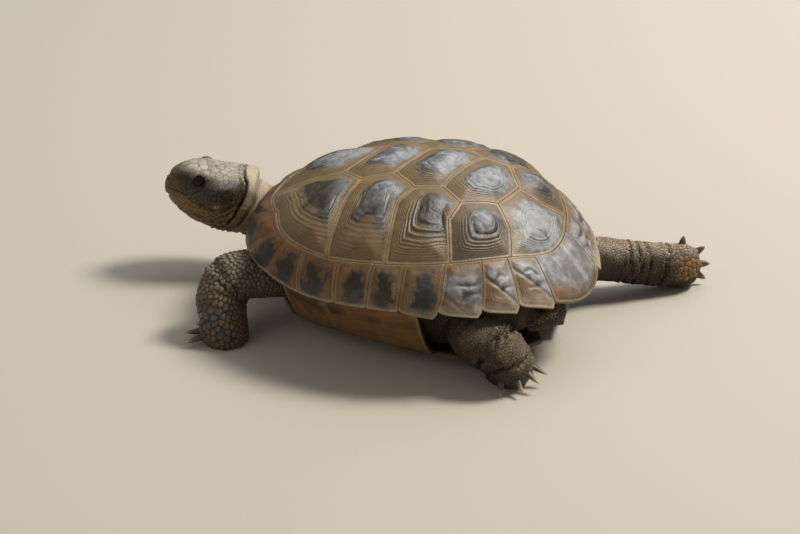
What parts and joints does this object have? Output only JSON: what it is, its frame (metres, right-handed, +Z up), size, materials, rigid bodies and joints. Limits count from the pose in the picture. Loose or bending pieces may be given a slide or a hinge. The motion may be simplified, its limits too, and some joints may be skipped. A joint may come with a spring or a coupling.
{
  "type": "tortoise",
  "caption": "Life-size still tortoise in mid-stride: low domed shell of horn plates, head raised on a folded neck, scaly clawed legs, one hind leg stretched back.",
  "frame": {"origin": "middle of the bounding box at floor level, under the shell", "axes": "+X from head to tail along the shell, +Y towards the animal's right side, +Z up"},
  "size_m": [0.2744, 0.216, 0.0937],
  "materials": {
    "scute_horn": "satin horn with fine growth rings, olive brown with slate areolae and pale seam edges",
    "belly_horn": "satin horn, orange brown with dark smears",
    "skin": "dry scaly skin, grey brown",
    "head_skin": "fine scaly skin, dark slate brown with a paler crown",
    "eye": "wet gloss, nearly black"
  },
  "bodies": {
    "root": {"vertebral_1": "scute_horn", "vertebral_2": "scute_horn", "vertebral_3": "scute_horn", "vertebral_4": "scute_horn", "vertebral_5": "scute_horn", "costal_left_1": "scute_horn", "costal_right_1": "scute_horn", "costal_left_2": "scute_horn", "costal_right_2": "scute_horn", "costal_left_3": "scute_horn", "costal_right_3": "scute_horn", "costal_left_4": "scute_horn", "costal_right_4": "scute_horn", "marginal_left_1": "scute_horn", "marginal_right_1": "scute_horn", "marginal_left_2": "scute_horn", "marginal_right_2": "scute_horn", "marginal_left_3": "scute_horn", "marginal_right_3": "scute_horn", "marginal_left_4": "scute_horn", "marginal_right_4": "scute_horn", "marginal_left_5": "scute_horn", "marginal_right_5": "scute_horn", "marginal_left_6": "scute_horn", "marginal_right_6": "scute_horn", "marginal_left_7": "scute_horn", "marginal_right_7": "scute_horn", "marginal_left_8": "scute_horn", "marginal_right_8": "scute_horn", "marginal_left_9": "scute_horn", "marginal_right_9": "scute_horn", "marginal_left_10": "scute_horn", "marginal_right_10": "scute_horn", "marginal_left_11": "scute_horn", "marginal_right_11": "scute_horn", "nuchal": "scute_horn", "supracaudal": "scute_horn", "gular_left": "belly_horn", "gular_right": "belly_horn", "humeral_left": "belly_horn", "humeral_right": "belly_horn", "pectoral_left": "belly_horn", "pectoral_right": "belly_horn", "abdominal_left": "belly_horn", "abdominal_right": "belly_horn", "femoral_left": "belly_horn", "femoral_right": "belly_horn", "anal_left": "belly_horn", "anal_right": "belly_horn", "eye_left": "eye", "eye_right": "eye", "trunk": "skin", "neck": "skin", "head": "head_skin", "tail": "skin", "foreleg_left": "skin", "foreleg_right": "skin", "hindleg_left": "skin", "hindleg_right": "skin"}
  },
  "joints": []
}
